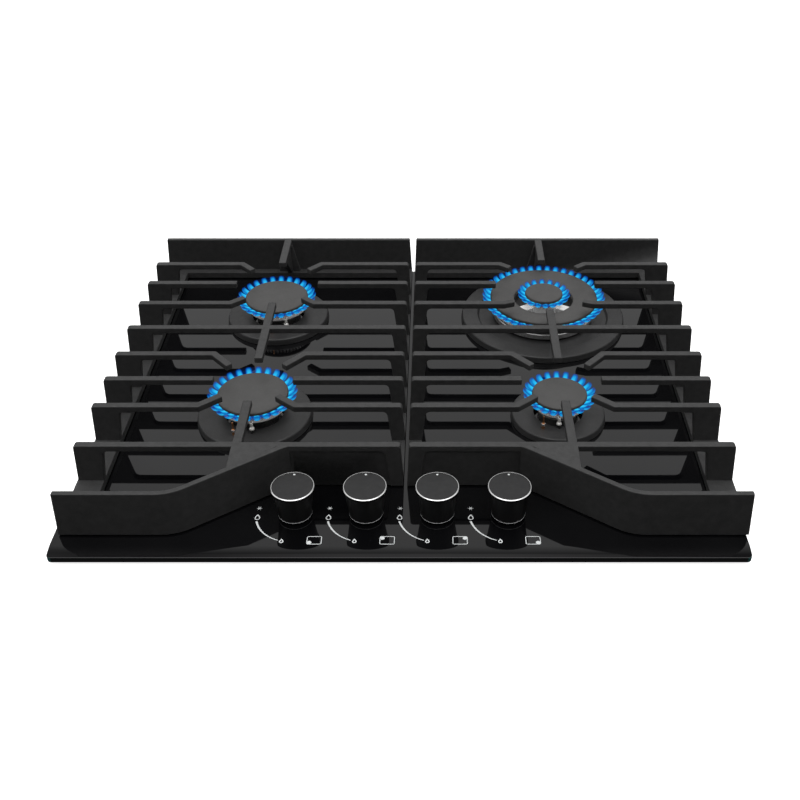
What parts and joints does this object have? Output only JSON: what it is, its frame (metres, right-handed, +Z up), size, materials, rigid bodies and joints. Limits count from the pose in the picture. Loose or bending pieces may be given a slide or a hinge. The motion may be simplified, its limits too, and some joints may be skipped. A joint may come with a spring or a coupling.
{
  "type": "gas cooktop",
  "caption": "Built-in gas cooktop: black glass panel, sealed burners with lift-off caps under cast-iron grates, push-and-turn knobs at the front, steel burner box below.",
  "frame": {"origin": "middle of the burner box's underside, below the middle of the glass panel", "axes": "+X to the cook's right, +Y to the rear, away from the knobs, +Z up"},
  "size_m": [0.5918, 0.486, 0.1009],
  "materials": {
    "black_glass": "gloss",
    "cast_iron_black": "matt enamel",
    "enamel_black": "matt enamel",
    "burner_aluminium": "satin",
    "steel_zinc": "satin",
    "bright_ring": "polished",
    "knob_black": "satin",
    "white_ceramic": "gloss",
    "copper_tip": "satin",
    "brass": "satin",
    "rubber_black": "matt",
    "grey_plastic": "matt"
  },
  "bodies": {
    "cooktop": {"glass_panel": "black_glass", "burner_box": "steel_zinc", "rim_seal": "rubber_black", "burner_body_front_left": "burner_aluminium", "flange_ring_front_left": "enamel_black", "electrode_front_left": "white_ceramic", "thermocouple_front_left": "copper_tip", "feed_pipe_front_left": "burner_aluminium", "burner_body_rear_left": "burner_aluminium", "flange_ring_rear_left": "enamel_black", "electrode_rear_left": "white_ceramic", "thermocouple_rear_left": "copper_tip", "feed_pipe_rear_left": "burner_aluminium", "burner_body_rear_right": "burner_aluminium", "flange_ring_rear_right": "enamel_black", "electrode_rear_right": "white_ceramic", "thermocouple_rear_right": "copper_tip", "feed_pipe_rear_right": "burner_aluminium", "burner_body_front_right": "burner_aluminium", "flange_ring_front_right": "enamel_black", "electrode_front_right": "white_ceramic", "thermocouple_front_right": "copper_tip", "feed_pipe_front_right": "burner_aluminium", "tap_1": "burner_aluminium", "tap_2": "burner_aluminium", "tap_3": "burner_aluminium", "tap_4": "burner_aluminium", "gas_rail": "burner_aluminium", "rail_bracket_1": "steel_zinc", "rail_bracket_2": "steel_zinc", "inlet_union": "brass", "spark_generator": "grey_plastic", "cable_gland": "rubber_black"},
    "push_1": {"push_pin_1": "steel_zinc"},
    "turn_1": {"knob_1": "knob_black", "knob_ring_1": "bright_ring", "spindle_1": "steel_zinc"},
    "push_2": {"push_pin_2": "steel_zinc"},
    "turn_2": {"knob_2": "knob_black", "knob_ring_2": "bright_ring", "spindle_2": "steel_zinc"},
    "push_3": {"push_pin_3": "steel_zinc"},
    "turn_3": {"knob_3": "knob_black", "knob_ring_3": "bright_ring", "spindle_3": "steel_zinc"},
    "push_4": {"push_pin_4": "steel_zinc"},
    "turn_4": {"knob_4": "knob_black", "knob_ring_4": "bright_ring", "spindle_4": "steel_zinc"},
    "grate_left": {"grate_left": "cast_iron_black"},
    "grate_right": {"grate_right": "cast_iron_black"},
    "crown_front_left": {"crown_front_left": "burner_aluminium"},
    "cap_front_left": {"cap_front_left": "enamel_black"},
    "crown_rear_left": {"crown_rear_left": "burner_aluminium"},
    "cap_rear_left": {"cap_rear_left": "enamel_black"},
    "crown_rear_right": {"crown_rear_right": "burner_aluminium"},
    "cap_rear_right": {"cap_rear_right": "enamel_black"},
    "crown_front_right": {"crown_front_right": "burner_aluminium"},
    "cap_front_right": {"cap_front_right": "enamel_black"},
    "inner_cap_rear_right": {"inner_cap_rear_right": "enamel_black"}
  },
  "joints": [
    {"name": "knob_push_1", "type": "slide", "parent": "cooktop", "child": "push_1", "axis": [0, 0, -1], "range_m": [0, 0.0025], "stiffness_N_per_m": 2000, "springref_m": -0.003},
    {"name": "knob_turn_1", "type": "hinge", "parent": "push_1", "child": "turn_1", "pos_m": [-0.09173, -0.1923, 0.07], "axis": [0, 0, 1], "range_deg": [0, 168]},
    {"name": "knob_push_2", "type": "slide", "parent": "cooktop", "child": "push_2", "axis": [0, 0, -1], "range_m": [0, 0.0025], "stiffness_N_per_m": 2000, "springref_m": -0.003},
    {"name": "knob_turn_2", "type": "hinge", "parent": "push_2", "child": "turn_2", "pos_m": [-0.02998, -0.1923, 0.07], "axis": [0, 0, 1], "range_deg": [0, 168]},
    {"name": "knob_push_3", "type": "slide", "parent": "cooktop", "child": "push_3", "axis": [0, 0, -1], "range_m": [0, 0.0025], "stiffness_N_per_m": 2000, "springref_m": -0.003},
    {"name": "knob_turn_3", "type": "hinge", "parent": "push_3", "child": "turn_3", "pos_m": [0.03177, -0.1923, 0.07], "axis": [0, 0, 1], "range_deg": [0, 168]},
    {"name": "knob_push_4", "type": "slide", "parent": "cooktop", "child": "push_4", "axis": [0, 0, -1], "range_m": [0, 0.0025], "stiffness_N_per_m": 2000, "springref_m": -0.003},
    {"name": "knob_turn_4", "type": "hinge", "parent": "push_4", "child": "turn_4", "pos_m": [0.09353, -0.1923, 0.07], "axis": [0, 0, 1], "range_deg": [0, 168]},
    {"name": "grate_lift_left", "type": "slide", "parent": "cooktop", "child": "grate_left", "axis": [0, 0, 1], "range_m": [0, 0.06]},
    {"name": "grate_lift_right", "type": "slide", "parent": "cooktop", "child": "grate_right", "axis": [0, 0, 1], "range_m": [0, 0.06]},
    {"name": "crown_lift_front_left", "type": "slide", "parent": "cooktop", "child": "crown_front_left", "axis": [0, 0, 1], "range_m": [0, 0.0045]},
    {"name": "cap_lift_front_left", "type": "slide", "parent": "crown_front_left", "child": "cap_front_left", "axis": [0, 0, 1], "range_m": [0, 0.004]},
    {"name": "crown_lift_rear_left", "type": "slide", "parent": "cooktop", "child": "crown_rear_left", "axis": [0, 0, 1], "range_m": [0, 0.0045]},
    {"name": "cap_lift_rear_left", "type": "slide", "parent": "crown_rear_left", "child": "cap_rear_left", "axis": [0, 0, 1], "range_m": [0, 0.004]},
    {"name": "crown_lift_rear_right", "type": "slide", "parent": "cooktop", "child": "crown_rear_right", "axis": [0, 0, 1], "range_m": [0, 0.0035]},
    {"name": "cap_lift_rear_right", "type": "slide", "parent": "crown_rear_right", "child": "cap_rear_right", "axis": [0, 0, 1], "range_m": [0, 0.0035]},
    {"name": "crown_lift_front_right", "type": "slide", "parent": "cooktop", "child": "crown_front_right", "axis": [0, 0, 1], "range_m": [0, 0.0045]},
    {"name": "cap_lift_front_right", "type": "slide", "parent": "crown_front_right", "child": "cap_front_right", "axis": [0, 0, 1], "range_m": [0, 0.004]},
    {"name": "inner_cap_lift_rear_right", "type": "slide", "parent": "crown_rear_right", "child": "inner_cap_rear_right", "axis": [0, 0, 1], "range_m": [0, 0.0035]}
  ]
}
